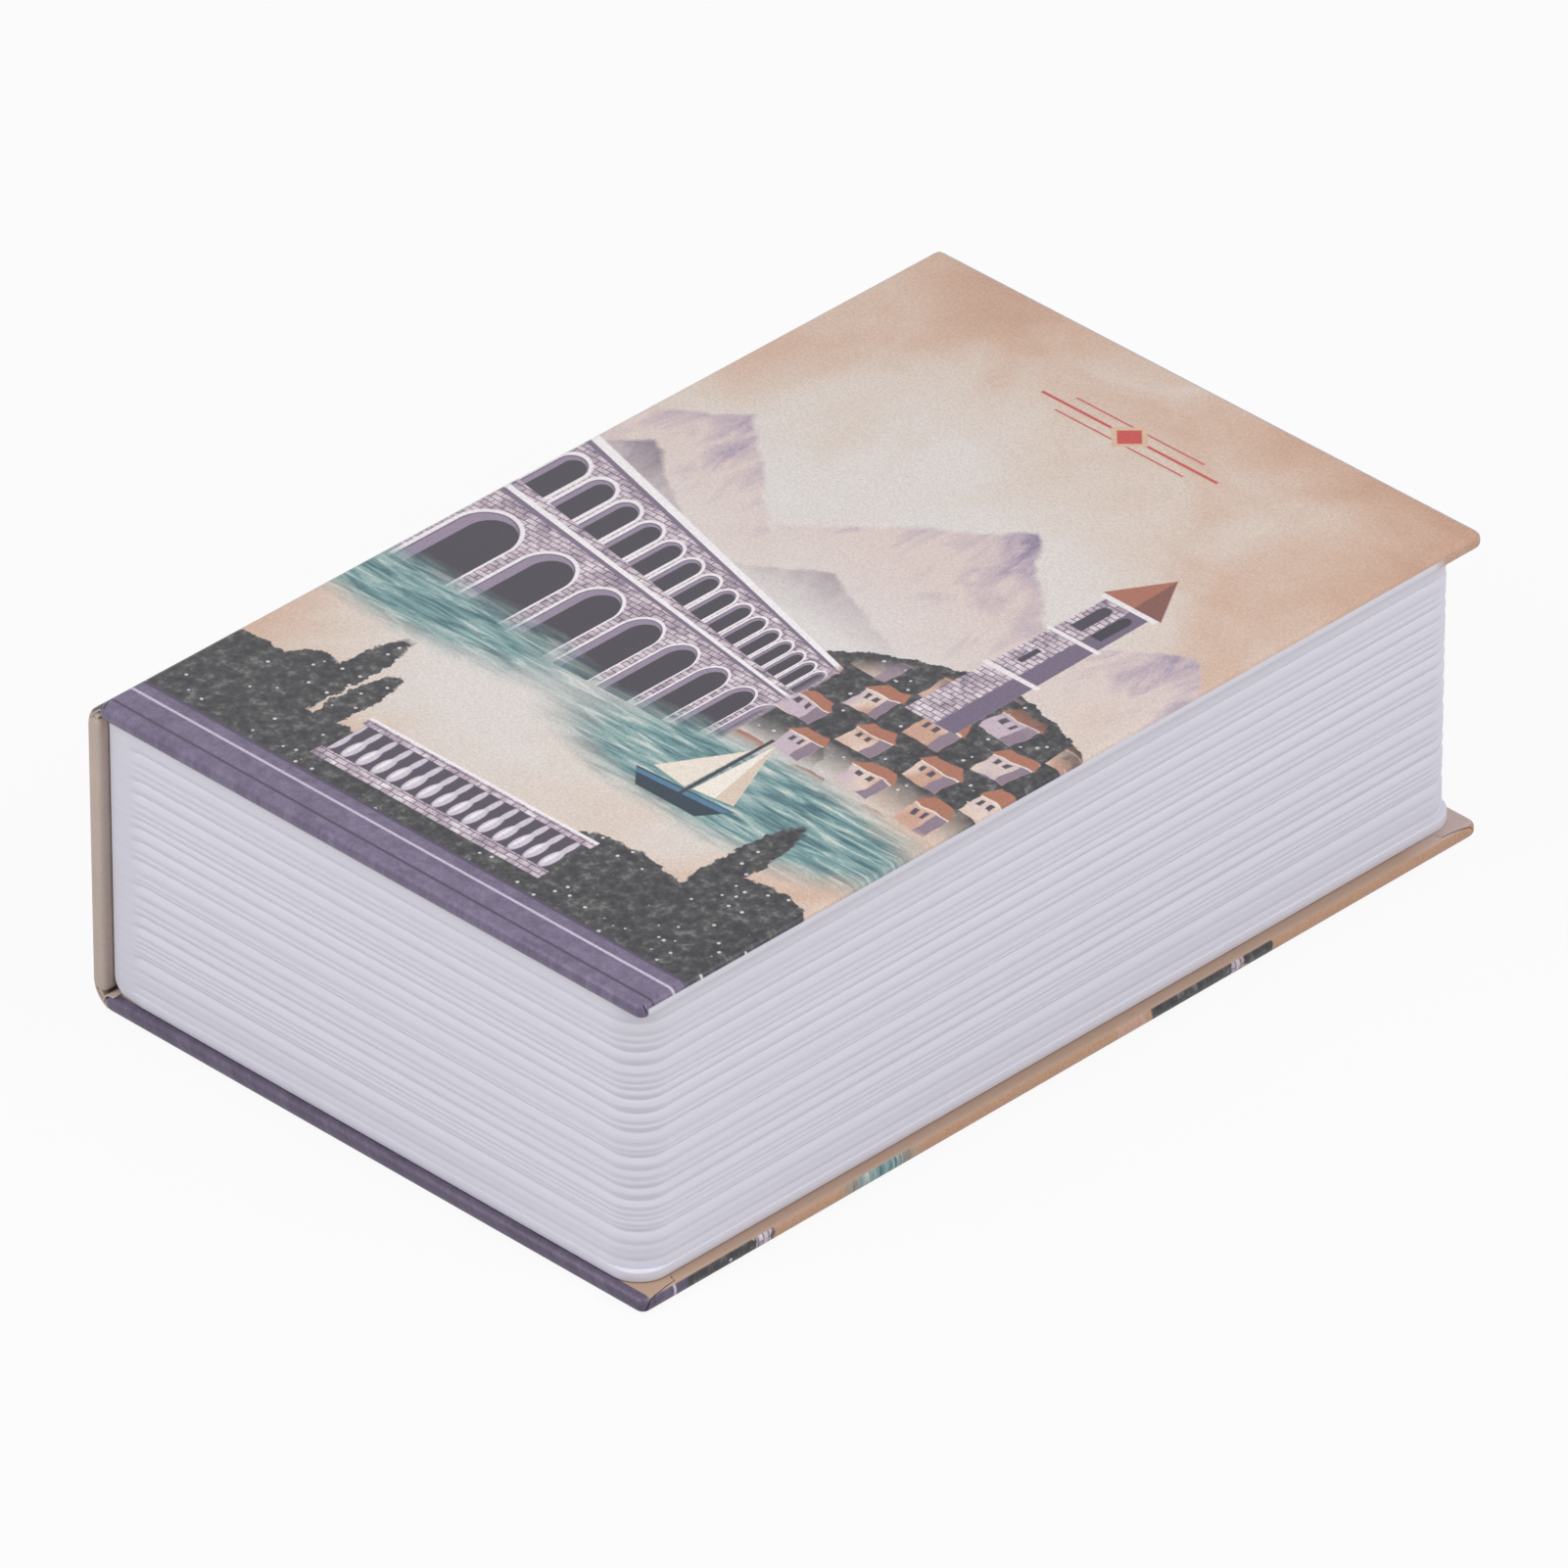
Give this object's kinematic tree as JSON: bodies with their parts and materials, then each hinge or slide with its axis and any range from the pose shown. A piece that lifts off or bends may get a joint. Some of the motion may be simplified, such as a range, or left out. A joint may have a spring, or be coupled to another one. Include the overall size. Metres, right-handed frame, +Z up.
{
  "type": "book diversion safe",
  "caption": "Hollow hardcover book with a white page-like moulded block that hides a hinged steel box closed by a cam lock.",
  "frame": {"origin": "centre of the closed book's bounding box in plan, on the plane it rests on", "axes": "+Z up through the closed book from back cover to front cover, +Y from tail to head, +X from spine to fore-edge"},
  "size_m": [0.1172, 0.18, 0.055],
  "materials": {
    "greyboard": "pressed grey binder's board",
    "cover_print": "printed wrap with a satin film and fine grain",
    "endpaper": "uncoated tan paper",
    "page_plastic": "moulded white ABS, fine satin texture",
    "box_enamel": "black powder coat on folded steel",
    "plated_steel": "bright zinc plate",
    "lock_chrome": "nickel-chrome plate",
    "lock_brass": "machined brass"
  },
  "bodies": {
    "book_base": {"back_board": "greyboard", "back_wrap": "cover_print", "back_endpaper": "endpaper", "page_block": "page_plastic", "steel_tray": "box_enamel", "strike_plate": "box_enamel", "hinge_pin": "plated_steel", "tray_screw_1": "plated_steel", "tray_screw_2": "plated_steel", "tray_screw_3": "plated_steel", "tray_screw_4": "plated_steel"},
    "spine": {"spine_board": "greyboard", "spine_wrap": "cover_print", "spine_lining": "endpaper"},
    "front_cover": {"front_board": "greyboard", "front_wrap": "cover_print", "front_endpaper": "endpaper"},
    "lid": {"steel_lid": "box_enamel", "lock_housing": "lock_chrome", "lock_washer": "plated_steel", "lock_nut": "lock_brass"},
    "lock": {"lock_plug": "lock_chrome", "lock_cam": "plated_steel", "cam_washer": "plated_steel", "cam_nut": "plated_steel"}
  },
  "joints": [
    {"name": "spine_hinge", "type": "hinge", "parent": "book_base", "child": "spine", "pos_m": [-0.0583, 0, 0.0025], "axis": [0, -1, 0], "range_deg": [0, 90]},
    {"name": "cover_hinge", "type": "hinge", "parent": "spine", "child": "front_cover", "pos_m": [-0.0583, 0, 0.0525], "axis": [0, -1, 0], "range_deg": [0, 90]},
    {"name": "lid_hinge", "type": "hinge", "parent": "book_base", "child": "lid", "pos_m": [-0.04248, 0, 0.04738], "axis": [0, -1, 0], "range_deg": [0, 94.5]},
    {"name": "lock_turn", "type": "hinge", "parent": "lid", "child": "lock", "pos_m": [0.0299, 0, 0.0333], "axis": [0, 0, -1], "range_deg": [0, 90]}
  ],
  "couplings": [
    {"joint": "lid_hinge", "follows": "cover_hinge", "ratio": 1.05}
  ]
}
